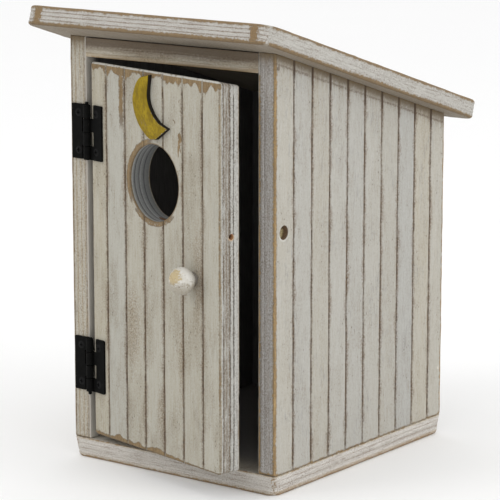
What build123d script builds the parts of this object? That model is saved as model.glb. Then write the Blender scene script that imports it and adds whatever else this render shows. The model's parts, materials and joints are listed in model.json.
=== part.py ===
from build123d import *
import os
from math import cos, radians, sin

# Outhouse birdhouse: a grooved plywood box under one sloping roof, with a hinged front door.
# Millimetres and degrees. +Z is up, the door faces -Y, and the origin is the centre of the base.
# The door is modelled standing ajar, which is how it rests.

# Cabinet
WIDTH = 127.0
DEPTH = 149.0
FRONT_HEIGHT = 217.5  # from the base to the roof's underside, at the front face
PLY = 10.2
EASE = 1.0  # radius that sanding leaves on a panel's long edges
FLOOR_TOP_CORNER = 1.2  # flush with the walls above
FLOOR_FOOT_CORNER = 5.5  # corners are sanded away towards the ground
FLOOR_EASE = 1.8
RAIL_DROP = 10.5  # how far the cross rail hangs below the roof's underside at the front
RAIL_GAP = 0.8  # shadow line between the cross rail and the roof

# Roof
ROOF_SLOPE = 17.2
ROOF_THICKNESS = 9.8
ROOF_FRONT = 23.0  # overhangs, measured level at the underside
ROOF_BACK = 13.5
ROOF_SIDE = 12.0
ROOF_CORNER = 8.0
ROOF_EASE = 2.0

# Beaded boards: V-grooves cut in the outer faces
GROOVE_PITCH = 15.1
GROOVE_WIDTH = 1.5
GROOVE_DEPTH = 1.1
SIDE_GROOVES = 9
SIDE_FIRST_GROOVE = 15.4  # from the front edge
DOOR_GROOVES = 6
DOOR_FIRST_GROOVE = 12.2  # from the hinge edge
BACK_GROOVES = 6

# Door
DOOR_AJAR = 13.3
DOOR_WIDTH = 100.8
DOOR_HEIGHT = 191.4
DOOR_THICKNESS = 12.5
DOOR_BOTTOM = 13.7
DOOR_EASE = 1.4
DOOR_BEVEL = 13.0  # how steeply the top edge falls towards the back, under the roof
HINGE_GAP = 2.9  # between the hinge edge and the jamb when shut
ENTRANCE_RADIUS = 19.0
ENTRANCE_HEIGHT = 136.5  # above the door's bottom edge
ENTRANCE_EASE = 0.6

# Latch pin hole: through the right side wall and on into the shut door's edge
LATCH_HEIGHT = 130.2
LATCH_SETBACK = 7.2  # behind the front face
LATCH_RADIUS = 1.7
LATCH_BORE_RADIUS = 3.5
LATCH_BORE_DEPTH = 3.5
LATCH_DOOR_RADIUS = 1.5
LATCH_DOOR_DEPTH = 12.0

# Hinges
HINGE_HEIGHT = 27.8
HINGE_LEVELS = {"upper": 169.3, "lower": 49.9}
LEAF_WIDTH = 10.6  # from the pin's axis
LEAF_THICKNESS = 1.0
LEAF_CORNER = 0.6
KNUCKLES = 4
KNUCKLE_RADIUS = 1.9
KNUCKLE_GAP = 0.4
KNUCKLE_NOTCH = 4.0  # how far a leaf is cut back round the other leaf's knuckle
PIN_RADIUS = 0.9
PIN_CLEARANCE = 0.05
PIN_TIP = 1.5  # the end that stands out of the knuckles
PIN_ROUND = 0.4
PIN_FROM_DOOR = 1.0  # from the pin's axis to the door's hinge edge
SCREW_REACH = 6.2  # hinge screws, from the pin's axis
SCREW_SPREAD = 19.0  # between the two screws of a leaf

# Fasteners
HINGE_SCREW = {"head": 2.0, "shank": 1.1, "length": 8.0, "dome": 0.4}
KNOB_SCREW = {"head": 3.2, "shank": 1.5, "length": 20.0, "dome": 0.3}
SCREW_POINT = 2.4
RECESS_WIDTH = 0.5
RECESS_SPAN = 1.1  # of a cross recess, as a share of the head's radius
BRAD_LENGTH = 25.0
BRAD_RADIUS = 0.6
BRAD_HEAD_RADIUS = 1.1
BRAD_HEAD_THICKNESS = 0.6
BRAD_POINT = 1.8
WALL_BRADS = (24.5, 74.5, 124.5)  # behind the front face, along each side wall's foot and top
BACK_WALL_BRAD = 30.0  # up into the back wall, from the centre line
EDGE_BRAD = 2.6  # in through a side wall, from its front or back edge
RAIL_BRAD_HEIGHT = 209.8
BACK_BRAD_HEIGHTS = (36.0, 146.0)

# Crescent moon. Its outline counts from the door's centre line and the moon's lowest point.
MOON_THICKNESS = 2.4
MOON_EASE = 0.3
MOON_FOOT = 158.3  # above the door's bottom edge
MOON_SHIFT = 0.8  # of the whole outline, sideways from the centre line
MOON_TOP = (-1.8, 31.2)
MOON_OUTER = [(-10.0, 28.2), (-14.4, 18.4), (-10.8, 7.7), (-2.6, 0.7)]
MOON_HEEL = (3.4, 0.2)
MOON_POINT = (12.6, 6.3)
MOON_NOTCH = (5.4, 8.6)
MOON_INNER = [(0.6, 12.8), (-2.9, 19.6)]

# Knob: turned, a flattened ball on a short neck. Pairs are a radius and a distance from the face.
KNOB_REACH = 80.7  # from the hinge edge
KNOB_HEIGHT = 93.8  # above the door's bottom edge
KNOB_FOOT = (3.6, 0.5)
KNOB_WAIST = (3.2, 1.2)
KNOB_SHOULDER = (4.5, 2.3)
KNOB_WIDEST = (6.75, 7.2)
KNOB_TOP = 13.2

# Derived sizes and places
FRONT = -DEPTH / 2
BACK = DEPTH / 2
OPENING = WIDTH - 2 * PLY
MID_PLY = (WIDTH - PLY) / 2  # from the centre to the middle of a side wall
PIN_X = -OPENING / 2 + HINGE_GAP - PIN_FROM_DOOR
PIN_Y = FRONT - KNUCKLE_RADIUS
KNUCKLE_PITCH = HINGE_HEIGHT / KNUCKLES
SLOPE_COS = cos(radians(ROOF_SLOPE))
AJAR_COS = cos(radians(DOOR_AJAR))
AJAR_SIN = sin(radians(DOOR_AJAR))

# Faces of the cabinet. On the base and the right side, distances count from the front face.
base_face = Plane(origin=(0, FRONT, 0), x_dir=(-1, 0, 0), z_dir=(0, 0, -1))
right_face = Plane(origin=(WIDTH / 2, FRONT, 0), x_dir=(0, 1, 0), z_dir=(1, 0, 0))
back_face = Plane(origin=(0, BACK, 0), x_dir=(-1, 0, 0), z_dir=(0, 1, 0))
front_face = Plane(origin=(0, FRONT, 0), x_dir=(1, 0, 0), z_dir=(0, -1, 0))
roof_underside = Plane(
    origin=(0, FRONT, FRONT_HEIGHT),
    x_dir=(1, 0, 0),
    z_dir=(0, sin(radians(ROOF_SLOPE)), SLOPE_COS),
)

# Plan views at the hinge pins: X runs across the panel that a leaf is screwed to, Y into it.
frame_plan = Plane(origin=(PIN_X, PIN_Y, 0), x_dir=(1, 0, 0), z_dir=(0, 0, 1))
door_plan = Plane(origin=(PIN_X, PIN_Y, 0), x_dir=(AJAR_COS, -AJAR_SIN, 0), z_dir=(0, 0, 1))


def face_of(plan, across=0, height=0):
    """The outer face of a plan's panel, with its origin at the given place."""
    corner = plan.from_local_coords((across, KNUCKLE_RADIUS, height))
    return Plane(origin=corner, x_dir=plan.x_dir, z_dir=-plan.y_dir)


def seats(face, points, lift=0):
    """Planes parallel to a face, one at each (x, y) point on it, lifted off it."""
    origins = [face.from_local_coords((x, y, lift)) for x, y in points]
    return [Plane(origin=origin, x_dir=face.x_dir, z_dir=face.z_dir) for origin in origins]


def v_grooves(face, first, count):
    """Cutters for evenly spaced V-grooves that run up the whole of a face."""
    end = Plane(origin=face.origin, x_dir=face.x_dir, z_dir=face.y_dir)
    half = GROOVE_WIDTH / 2
    with BuildPart() as cutters:
        with BuildSketch(end):
            with Locations(*[(first + step * GROOVE_PITCH, 0) for step in range(count)]):
                Polygon((-half, 0), (half, 0), (0, GROOVE_DEPTH), align=None)
        extrude(amount=FRONT_HEIGHT)
    return cutters.part


def wood_screw(head, shank, length, dome):
    """A raised countersunk screw with a cross recess, pointing down, its head's rim at Z 0."""
    with BuildPart() as screw:
        with BuildSketch(Plane.XZ):
            with BuildLine():
                TangentArc((0, dome), (head, 0), tangent=(1, 0))
                Polyline(
                    (head, 0),
                    (shank, shank - head),
                    (shank, SCREW_POINT - length),
                    (0, -length),
                    (0, dome),
                )
            make_face()
        revolve(axis=Axis.Z)
        with BuildSketch(Plane.XY.offset(dome)):
            Rectangle(RECESS_SPAN * head, RECESS_WIDTH)
            Rectangle(RECESS_WIDTH, RECESS_SPAN * head)
        extrude(amount=-dome - RECESS_WIDTH, mode=Mode.SUBTRACT)
    return screw.part


def flat_brad():
    """A flat-headed brad, pointing down, the top of its head at Z 0."""
    with BuildPart() as nail:
        with BuildSketch(Plane.XZ):
            with BuildLine():
                Polyline(
                    (0, 0),
                    (BRAD_HEAD_RADIUS, 0),
                    (BRAD_RADIUS, -BRAD_HEAD_THICKNESS),
                    (BRAD_RADIUS, BRAD_POINT - BRAD_LENGTH),
                    (0, -BRAD_LENGTH),
                    close=True,
                )
            make_face()
        revolve(axis=Axis.Z)
    return nail.part


def placed(fastener, places, both_sides=False):
    """Copies of a fastener, heads outwards along each place's Z, on one or both sides."""
    with BuildPart() as group:
        with Locations(*places):
            add(fastener)
        if both_sides:
            mirror(about=Plane.YZ)
    return group


def knuckle_middles(level, owner):
    """Heights of the knuckles that a leaf owns: the frame has the topmost, then they alternate."""
    first = 1 if owner == "frame" else 0
    foot = level - HINGE_HEIGHT / 2
    return [foot + (step + 0.5) * KNUCKLE_PITCH for step in range(first, KNUCKLES, 2)]


def hinge_leaf(plan, level, owner):
    """One leaf: a plate on its panel's face, with its own knuckles rolled round the pin."""
    toward = -1 if owner == "frame" else 1
    other = "door" if owner == "frame" else "frame"
    bore = PIN_RADIUS if owner == "frame" else PIN_RADIUS + PIN_CLEARANCE
    face = face_of(plan)
    with BuildPart() as leaf:
        with BuildSketch(face) as plate:
            with Locations((toward * LEAF_WIDTH / 2, level)):
                Rectangle(LEAF_WIDTH, HINGE_HEIGHT)
            fillet(plate.vertices().sort_by(Axis.X, reverse=toward > 0)[:2], LEAF_CORNER)
            with Locations(*[(0, middle) for middle in knuckle_middles(level, other)]):
                Rectangle(2 * KNUCKLE_NOTCH, KNUCKLE_PITCH + KNUCKLE_GAP, mode=Mode.SUBTRACT)
        extrude(amount=LEAF_THICKNESS)
        for middle in knuckle_middles(level, owner):
            with BuildSketch(plan.offset(middle)):
                Circle(KNUCKLE_RADIUS)
            extrude(amount=(KNUCKLE_PITCH - KNUCKLE_GAP) / 2, both=True)
        with BuildSketch(plan.offset(level)):
            Circle(bore)
        extrude(amount=HINGE_HEIGHT, both=True, mode=Mode.SUBTRACT)
        with Locations(*leaf_screw_seats(plan, level, owner, LEAF_THICKNESS)):
            CounterSinkHole(
                radius=HINGE_SCREW["shank"],
                counter_sink_radius=HINGE_SCREW["head"],
                depth=LEAF_THICKNESS,
                counter_sink_angle=90,
            )
    return leaf


def leaf_screw_seats(plan, level, owner, lift):
    """Where the two screws of a leaf go in, at the given height over the panel's face."""
    reach = -SCREW_REACH if owner == "frame" else SCREW_REACH
    points = [(reach, level + half * SCREW_SPREAD / 2) for half in (-1, 1)]
    return seats(face_of(plan), points, lift)


def hinge_pin(level, up):
    """The pin, held in the frame's knuckles, with a rounded end standing out of one end."""
    with BuildPart() as pin:
        with BuildSketch(frame_plan.offset(level - up * HINGE_HEIGHT / 2)):
            Circle(PIN_RADIUS)
        extrude(amount=up * (HINGE_HEIGHT + PIN_TIP))
        fillet(pin.edges().filter_by(GeomType.CIRCLE).sort_by(Axis.Z)[-1 if up > 0 else 0], PIN_ROUND)
    return pin


def finish(piece, node):
    """Label a piece with its node's name and write it."""
    piece.part.label = node
    export_step(piece.part, f"parts/{node}.step")


# Brads: up through the floor, down through the roof, and in through the side walls
brad = flat_brad()
floor_points = [(MID_PLY, distance) for distance in WALL_BRADS]
floor_points += [(BACK_WALL_BRAD, DEPTH - PLY / 2)]
roof_points = [(MID_PLY, distance / SLOPE_COS) for distance in WALL_BRADS]
back_points = [(DEPTH - EDGE_BRAD, height) for height in BACK_BRAD_HEIGHTS]
floor_brads = placed(brad, seats(base_face, floor_points), both_sides=True)
roof_brads = placed(brad, seats(roof_underside, roof_points, ROOF_THICKNESS), both_sides=True)
header_brads = placed(brad, seats(right_face, [(EDGE_BRAD, RAIL_BRAD_HEIGHT)]), both_sides=True)
back_brads = placed(brad, seats(right_face, back_points), both_sides=True)

# Floor: as wide and deep as the cabinet, so its ply edge shows all round
with BuildPart() as floor_panel:
    with BuildSketch():
        RectangleRounded(WIDTH, DEPTH, FLOOR_FOOT_CORNER)
    with BuildSketch(Plane.XY.offset(PLY)):
        RectangleRounded(WIDTH, DEPTH, FLOOR_TOP_CORNER)
    loft(ruled=True)
    fillet(floor_panel.faces().sort_by(Axis.Z)[0].edges(), FLOOR_EASE)
    add(floor_brads.part, mode=Mode.SUBTRACT)

# Side walls: they stand on the floor, carry the roof, and their front edges are the jambs
with BuildPart() as side_board:
    with BuildSketch(right_face):
        with Locations((0, PLY)):
            Rectangle(DEPTH, FRONT_HEIGHT, align=(Align.MIN, Align.MIN))
    extrude(amount=-PLY)
    split(bisect_by=roof_underside, keep=Keep.BOTTOM)
    fillet(side_board.edges().filter_by(Axis.Z), EASE)
    add(v_grooves(right_face, SIDE_FIRST_GROOVE, SIDE_GROOVES), mode=Mode.SUBTRACT)
    for group in (floor_brads, roof_brads, header_brads, back_brads):
        add(group.part, mode=Mode.SUBTRACT)

PILOT_DEPTH = HINGE_SCREW["length"] - LEAF_THICKNESS

with BuildPart() as left_side_panel:
    mirror(side_board.part, about=Plane.YZ)
    for level in HINGE_LEVELS.values():
        with Locations(*leaf_screw_seats(frame_plan, level, "frame", 0)):
            Hole(radius=HINGE_SCREW["shank"], depth=PILOT_DEPTH)

with BuildPart() as right_side_panel:
    add(side_board.part)
    with Locations(*seats(right_face, [(LATCH_SETBACK, LATCH_HEIGHT)])):
        CounterBoreHole(
            radius=LATCH_RADIUS,
            counter_bore_radius=LATCH_BORE_RADIUS,
            counter_bore_depth=LATCH_BORE_DEPTH,
            depth=PLY,
        )

# Back wall: set between the side walls, its top cut to the roof's slope
with BuildPart() as back_panel:
    with BuildSketch(back_face):
        with Locations((0, PLY)):
            Rectangle(OPENING, FRONT_HEIGHT, align=(Align.CENTER, Align.MIN))
    extrude(amount=-PLY)
    split(bisect_by=roof_underside, keep=Keep.BOTTOM)
    first_back_groove = (1 - BACK_GROOVES) * GROOVE_PITCH / 2
    add(v_grooves(back_face, first_back_groove, BACK_GROOVES), mode=Mode.SUBTRACT)
    for group in (floor_brads, back_brads):
        add(group.part, mode=Mode.SUBTRACT)

# Cross rail over the door: flush with the front, and a hair short of the roof
with BuildPart() as header_rail:
    with BuildSketch(front_face):
        with Locations((0, FRONT_HEIGHT - RAIL_DROP)):
            Rectangle(OPENING, RAIL_DROP, align=(Align.CENTER, Align.MIN))
    extrude(amount=-PLY)
    split(bisect_by=roof_underside.offset(-RAIL_GAP), keep=Keep.BOTTOM)
    fillet(header_rail.edges().filter_by(Axis.X).group_by(Axis.Z)[0], EASE)
    add(header_brads.part, mode=Mode.SUBTRACT)

# Roof: one board, its ends cut square to the slope
with BuildPart() as roof_panel:
    with BuildSketch(roof_underside) as roof_plan:
        with Locations((0, -ROOF_FRONT / SLOPE_COS)):
            Rectangle(
                WIDTH + 2 * ROOF_SIDE,
                (ROOF_FRONT + DEPTH + ROOF_BACK) / SLOPE_COS,
                align=(Align.CENTER, Align.MIN),
            )
        fillet(roof_plan.vertices(), ROOF_CORNER)
    extrude(amount=ROOF_THICKNESS)
    fillet(roof_panel.faces().filter_by(roof_underside).edges(), ROOF_EASE)
    add(roof_brads.part, mode=Mode.SUBTRACT)

# Door: everything on it is placed from its outer face, X from the hinge edge, Y from its foot
door_face = face_of(door_plan, PIN_FROM_DOOR, DOOR_BOTTOM)
latch_edge = Plane(
    origin=door_face.from_local_coords((DOOR_WIDTH, LATCH_HEIGHT - DOOR_BOTTOM, -LATCH_SETBACK)),
    z_dir=door_face.x_dir,
)
door_top = Plane(
    origin=door_face.from_local_coords((0, DOOR_HEIGHT, 0)),
    x_dir=door_face.x_dir,
    z_dir=door_face.y_dir * cos(radians(DOOR_BEVEL)) - door_face.z_dir * sin(radians(DOOR_BEVEL)),
)
knob_seat = seats(door_face, [(KNOB_REACH, KNOB_HEIGHT)])[0]
knob_screw_seat = Plane(origin=knob_seat.offset(-DOOR_THICKNESS).origin, z_dir=-knob_seat.z_dir)

with BuildPart() as door_panel:
    with BuildSketch(door_face):
        Rectangle(DOOR_WIDTH, DOOR_HEIGHT, align=(Align.MIN, Align.MIN))
    extrude(amount=-DOOR_THICKNESS)
    split(bisect_by=door_top, keep=Keep.BOTTOM)
    fillet(door_panel.edges(), DOOR_EASE)
    with BuildSketch(door_face):
        with Locations((DOOR_WIDTH / 2, ENTRANCE_HEIGHT)):
            Circle(ENTRANCE_RADIUS)
    extrude(amount=-DOOR_THICKNESS, mode=Mode.SUBTRACT)
    entrance_rims = door_panel.edges().filter_by(GeomType.CIRCLE).group_by(SortBy.RADIUS)[-1]
    fillet(entrance_rims, ENTRANCE_EASE)
    add(v_grooves(door_face, DOOR_FIRST_GROOVE, DOOR_GROOVES), mode=Mode.SUBTRACT)
    for level in HINGE_LEVELS.values():
        with Locations(*leaf_screw_seats(door_plan, level, "door", 0)):
            Hole(radius=HINGE_SCREW["shank"], depth=PILOT_DEPTH)
    with Locations(latch_edge):
        Hole(radius=LATCH_DOOR_RADIUS, depth=LATCH_DOOR_DEPTH)
    with Locations(knob_screw_seat):
        CounterSinkHole(
            radius=KNOB_SCREW["shank"],
            counter_sink_radius=KNOB_SCREW["head"],
            depth=DOOR_THICKNESS,
            counter_sink_angle=90,
        )

# Crescent moon: a flat cut-out on the door's face, over the entrance
with BuildPart() as crescent_moon:
    with BuildSketch(*seats(door_face, [(DOOR_WIDTH / 2 + MOON_SHIFT, MOON_FOOT)])):
        with BuildLine():
            Spline(MOON_TOP, *MOON_OUTER, MOON_HEEL)
            Polyline(MOON_HEEL, MOON_POINT, MOON_NOTCH)
            Spline(MOON_NOTCH, *MOON_INNER, MOON_TOP)
        make_face()
    extrude(amount=MOON_THICKNESS)
    moon_front = crescent_moon.faces().sort_by(Axis(door_face.origin, door_face.z_dir))[-1]
    chamfer(moon_front.edges(), MOON_EASE)

# Knob, and the screw that holds it from inside the door
with BuildPart() as door_knob:
    knob_section = Plane(origin=knob_seat.origin, x_dir=knob_seat.x_dir, z_dir=-knob_seat.y_dir)
    with BuildSketch(knob_section):
        with BuildLine():
            Polyline((0, KNOB_TOP), (0, 0), (KNOB_FOOT[0], 0), KNOB_FOOT)
            Spline(KNOB_FOOT, KNOB_WAIST, KNOB_SHOULDER)
            Spline(KNOB_SHOULDER, KNOB_WIDEST, (0, KNOB_TOP))
        make_face()
    revolve(axis=Axis(knob_seat.origin, knob_seat.z_dir))
    with Locations(knob_screw_seat.offset(-DOOR_THICKNESS)):
        Hole(radius=KNOB_SCREW["shank"], depth=KNOB_SCREW["length"] - DOOR_THICKNESS)
knob_screw = placed(wood_screw(**KNOB_SCREW), [knob_screw_seat])

os.makedirs("parts", exist_ok=True)
for piece, node in (
    (floor_panel, "floor_panel"),
    (left_side_panel, "left_side_panel"),
    (right_side_panel, "right_side_panel"),
    (back_panel, "back_panel"),
    (header_rail, "header_rail"),
    (roof_panel, "roof_panel"),
    (floor_brads, "floor_brads"),
    (roof_brads, "roof_brads"),
    (header_brads, "header_brads"),
    (back_brads, "back_brads"),
    (door_panel, "door_panel"),
    (crescent_moon, "crescent_moon"),
    (door_knob, "door_knob"),
    (knob_screw, "knob_screw"),
):
    finish(piece, node)

# Hinges: two alike, but the lower one is fitted upside down, so its pin's end points down
hinge_screw = wood_screw(**HINGE_SCREW)
for name, level in HINGE_LEVELS.items():
    finish(hinge_pin(level, 1 if name == "upper" else -1), f"{name}_hinge_pin")
    for owner, plan in (("frame", frame_plan), ("door", door_plan)):
        screw_seats = leaf_screw_seats(plan, level, owner, LEAF_THICKNESS)
        finish(hinge_leaf(plan, level, owner), f"{name}_hinge_{owner}_leaf")
        finish(placed(hinge_screw, screw_seats), f"{name}_hinge_{owner}_screws")
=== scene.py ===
import json
from functools import partialmethod
from math import cos, pi, radians, sin, tan

import bpy
import numpy as np
from mathutils import Matrix, Vector
from mathutils.geometry import delaunay_2d_cdt


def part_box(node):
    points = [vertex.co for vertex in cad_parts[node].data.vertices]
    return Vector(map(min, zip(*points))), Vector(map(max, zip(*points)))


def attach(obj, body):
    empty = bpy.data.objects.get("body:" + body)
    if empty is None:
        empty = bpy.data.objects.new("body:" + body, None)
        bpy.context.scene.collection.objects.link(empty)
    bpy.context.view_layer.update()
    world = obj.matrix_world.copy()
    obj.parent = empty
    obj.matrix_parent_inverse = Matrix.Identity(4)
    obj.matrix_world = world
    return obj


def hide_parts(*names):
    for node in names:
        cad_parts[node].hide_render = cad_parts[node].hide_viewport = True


# Looks for the outhouse birdhouse. Boards are built here at full detail, in millimetres and in their
# own frames: X across the board's outer face, Y up it, Z out of it, with Z 0 on the face.
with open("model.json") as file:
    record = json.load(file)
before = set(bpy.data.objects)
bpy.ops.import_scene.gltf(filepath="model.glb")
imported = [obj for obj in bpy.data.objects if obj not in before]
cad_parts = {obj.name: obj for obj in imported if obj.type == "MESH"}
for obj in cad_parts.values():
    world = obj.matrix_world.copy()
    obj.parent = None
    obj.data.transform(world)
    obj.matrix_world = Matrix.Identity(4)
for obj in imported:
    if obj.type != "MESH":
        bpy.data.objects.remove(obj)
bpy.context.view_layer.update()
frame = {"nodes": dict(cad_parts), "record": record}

MM = 0.001
PLY = 10.2
FLOOR_CORNERS = (1.2, 5.5)
FLOOR_EASE = 1.8
ROOF_THICKNESS = 9.8
ROOF_SLOPE = 17.2
ROOF_CORNER = 8.0
ROOF_EASE = 2.0
GROOVE_PITCH = 15.1
GROOVE_DEPTH = 1.1
SIDE_FIRST_GROOVE = 15.4
SIDE_GROOVES = 9
BACK_GROOVES = 6
DOOR_SIZE = (100.8, 191.4, 12.5)
DOOR_FIRST_GROOVE = 12.2
DOOR_GROOVES = 6
DOOR_BEVEL = 13.0
BEVEL_START = 40  # the power of height that keeps the bevel to the door's top
PIN_FROM_DOOR = 1.0
KNUCKLE_RADIUS = 1.9
ENTRANCE_RADIUS = 19.0
ENTRANCE_HEIGHT = 136.5
BORE_RADIUS = 3.5
BORE_SINK = 3.5
THROUGH_RADIUS = 1.7
LATCH_RADIUS = 1.5
LATCH_SETBACK = 7.2
LATCH_HEIGHT = 130.2

# Places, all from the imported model
record = frame["record"]
joint = record["behaviour"]["joints"][0]
pin = Vector(joint["pos_m"]) / MM
AJAR = radians(-joint["range_deg"][0])


def corner(node, high):
    """The highest or lowest corner of a CAD node's box, in millimetres."""
    return Vector(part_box(node)[1 if high else 0]) / MM


left_low = corner("left_side_panel", False)
right_high = corner("right_side_panel", True)
FRONT = left_low.y
BACK = right_high.y
WIDTH = right_high.x - left_low.x
DEPTH = BACK - FRONT
SIDE_HEIGHT = right_high.z - left_low.z
RAIL_LEVEL = corner("header_rail", False).z - left_low.z


def axes(x_axis, y_axis, origin):
    """The matrix that puts a board's own frame at origin, with its X and Y along the given axes."""
    x_axis = Vector(x_axis).normalized()
    y_axis = Vector(y_axis).normalized()
    z_axis = x_axis.cross(y_axis)
    turn = Matrix((x_axis, y_axis, z_axis)).transposed().to_4x4()
    return Matrix.Translation(Vector(origin) * MM) @ turn


# ---------------- camera, light and floor

CAMERA_PLACE = (0.77740, -1.05327, 0.36784)
CAMERA_TARGET = (-0.00251, -0.00591, 0.10384)
CAMERA_LENS = 186.49


def make_camera():
    data = bpy.data.cameras.new("camera")
    data.lens = CAMERA_LENS
    data.sensor_width = 36.0
    data.clip_start = 0.05
    data.clip_end = 60.0
    camera = bpy.data.objects.new("camera", data)
    bpy.context.scene.collection.objects.link(camera)
    camera.location = CAMERA_PLACE
    look = Vector(CAMERA_TARGET) - Vector(CAMERA_PLACE)
    camera.rotation_euler = look.to_track_quat("-Z", "Y").to_euler()
    bpy.context.scene.camera = camera


def area_light(name, place, size, power, target=(0, 0, 0.11)):
    """A square soft light that faces the target."""
    data = bpy.data.lights.new(name, "AREA")
    data.shape = "SQUARE"
    data.size = size
    data.energy = power
    lamp = bpy.data.objects.new(name, data)
    bpy.context.scene.collection.objects.link(lamp)
    lamp.location = place
    lamp.rotation_euler = (Vector(target) - Vector(place)).to_track_quat("-Z", "Y").to_euler()


def make_light():
    world = bpy.data.worlds.new("studio")
    bpy.context.scene.world = world
    world.use_nodes = True
    world.node_tree.nodes["Background"].inputs["Color"].default_value = (1.0, 1.0, 1.0, 1.0)
    world.node_tree.nodes["Background"].inputs["Strength"].default_value = 1.0
    area_light("key", (-0.95, -1.35, 1.15), 0.7, 5.4)
    area_light("fill", (1.7, -0.05, 0.75), 1.0, 7.0)
    bpy.context.scene.view_settings.view_transform = "Standard"


def make_floor():
    mesh = bpy.data.meshes.new("studio_floor")
    reach = 20.0
    mesh.from_pydata(
        [(-reach, -reach, 0), (reach, -reach, 0), (reach, reach, 0), (-reach, reach, 0)],
        [],
        [(0, 1, 2, 3)],
    )
    floor = bpy.data.objects.new("studio_floor", mesh)
    bpy.context.scene.collection.objects.link(floor)
    shader = Shader("studio_floor")
    tone = shader.noise(shader.place() * 3.0, detail=2.0)
    paper = shader.blend(tone, (0.93, 0.93, 0.93), (0.95, 0.95, 0.95))
    floor.data.materials.append(shader.finish(paper, roughness=0.9))


# ---------------- node trees written as formulas


class Wire:
    """A number, vector or colour in a node tree. Arithmetic on it adds nodes."""

    def __init__(self, shader, socket):
        self.shader = shader
        self.socket = socket

    def sum(self, operation, other=0.0):
        if self.socket.type == "VECTOR":
            return self.shader.vector_sum(operation, self, other)
        return self.shader.sum(operation, self, other, 0.0)

    __add__ = __radd__ = partialmethod(sum, "ADD")
    __sub__ = partialmethod(sum, "SUBTRACT")
    __mul__ = __rmul__ = partialmethod(sum, "MULTIPLY")
    __truediv__ = partialmethod(sum, "DIVIDE")
    __neg__ = partialmethod(sum, "MULTIPLY", -1.0)
    abs = partialmethod(sum, "ABSOLUTE")
    floor = partialmethod(sum, "FLOOR")
    low = partialmethod(sum, "MINIMUM")  # the smaller of the two
    high = partialmethod(sum, "MAXIMUM")  # the larger of the two

    def __rsub__(self, other):
        return self.shader.sum("SUBTRACT", other, self)

    def jitter(self, reach):
        """A noise turned into an offset about 0."""
        return (self - 0.5) * reach

    def ramp(self, start, end):
        """0 at start, 1 at end, smooth between; start may be the higher of the two."""
        low, high, values = (end, start, (1.0, 0.0)) if start > end else (start, end, (0.0, 1.0))
        inputs = {
            "Value": self, "From Min": low, "From Max": high, "To Min": values[0], "To Max": values[1],
        }
        return self.shader.wire("MapRange", "Result", inputs, interpolation_type="SMOOTHSTEP")


class Shader:
    """A material whose nodes are added by the formulas that use them."""

    def __init__(self, name):
        self.material = bpy.data.materials.new(name)
        self.material.use_nodes = True
        self.tree = self.material.node_tree
        self.tree.nodes.clear()

    def node(self, kind, **settings):
        node = self.tree.nodes.new("ShaderNode" + kind)
        for key, value in settings.items():
            setattr(node, key, value)
        return node

    def feed(self, socket, value):
        if isinstance(value, Wire):
            self.tree.links.new(value.socket, socket)
        elif isinstance(value, tuple) and socket.type == "RGBA":
            socket.default_value = (*value, 1.0)
        else:
            socket.default_value = value

    def wire(self, kind, output, inputs, **settings):
        """Adds a node, feeds its inputs and returns one of its outputs."""
        node = self.node(kind, **settings)
        for key, value in inputs.items():
            self.feed(node.inputs[key], value)
        return Wire(self, node.outputs[output])

    def sum(self, operation, *values):
        return self.wire("Math", 0, dict(enumerate(values)), operation=operation)

    def vector_sum(self, operation, first, second):
        if operation == "MULTIPLY" and not isinstance(second, (Wire, tuple)):
            second = (second, second, second)
        return self.wire("VectorMath", 0, {0: first, 1: second}, operation=operation)

    def place(self):
        """Where the point is in the piece's own frame, in metres."""
        return self.wire("TexCoord", "Object", {})

    def split(self, vector):
        node = self.node("SeparateXYZ")
        self.feed(node.inputs[0], vector)
        return [Wire(self, socket) for socket in node.outputs]

    def join(self, x, y, z):
        return self.wire("CombineXYZ", 0, {0: x, 1: y, 2: z})

    def noise(self, *place, scale=1.0, detail=3.0, roughness=0.55):
        """Noise at a place, which is a vector or its three parts."""
        vector = place[0] if len(place) == 1 else self.join(*place)
        inputs = {"Vector": vector, "Scale": scale, "Detail": detail, "Roughness": roughness}
        return self.wire("TexNoise", 0, inputs)

    def cells(self, x, y, z, scale):
        """Distance to the nearest of scattered points, and a random number for each."""
        away = self.wire("TexVoronoi", "Distance", {"Vector": self.join(x, y, z), "Scale": scale})
        colour = Wire(self, away.socket.node.outputs["Color"])
        return away, self.split(colour)[0]

    def distance(self, across, up):
        """How far a point is from one that lies across and up from it."""
        return self.sum("SQRT", across * across + up * up)

    def blend(self, share, first, second):
        """A colour between two."""
        return self.wire("Mix", 2, {0: share, 6: first, 7: second}, data_type="RGBA")

    def bands(self, share, stops, steps=False):
        """A colour ramp over 0 to 1 from (position, colour) stops."""
        node = self.node("ValToRGB")
        self.feed(node.inputs[0], share)
        ramp = node.color_ramp
        ramp.interpolation = "CONSTANT" if steps else "LINEAR"
        while len(ramp.elements) < len(stops):
            ramp.elements.new(1.0)
        for element, (position, colour) in zip(ramp.elements, stops):
            element.position = position
            element.color = (*colour, 1.0)
        return Wire(self, node.outputs[0])

    def finish(self, colour, roughness=0.8, height=None, relief=1.0, metallic=0.0, specular=0.3):
        """The material, with a height in millimetres as its bump."""
        surface = self.node("BsdfPrincipled")
        self.feed(surface.inputs["Base Color"], colour)
        self.feed(surface.inputs["Roughness"], roughness)
        surface.inputs["Metallic"].default_value = metallic
        surface.inputs["Specular IOR Level"].default_value = specular
        if height is not None:
            bump = self.node("Bump")
            bump.inputs["Strength"].default_value = relief
            bump.inputs["Distance"].default_value = MM
            self.feed(bump.inputs["Height"], height)
            self.tree.links.new(bump.outputs[0], surface.inputs["Normal"])
        output = self.node("OutputMaterial")
        self.tree.links.new(surface.outputs[0], output.inputs[0])
        return self.material


# ---------------- painted boards: colour

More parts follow.
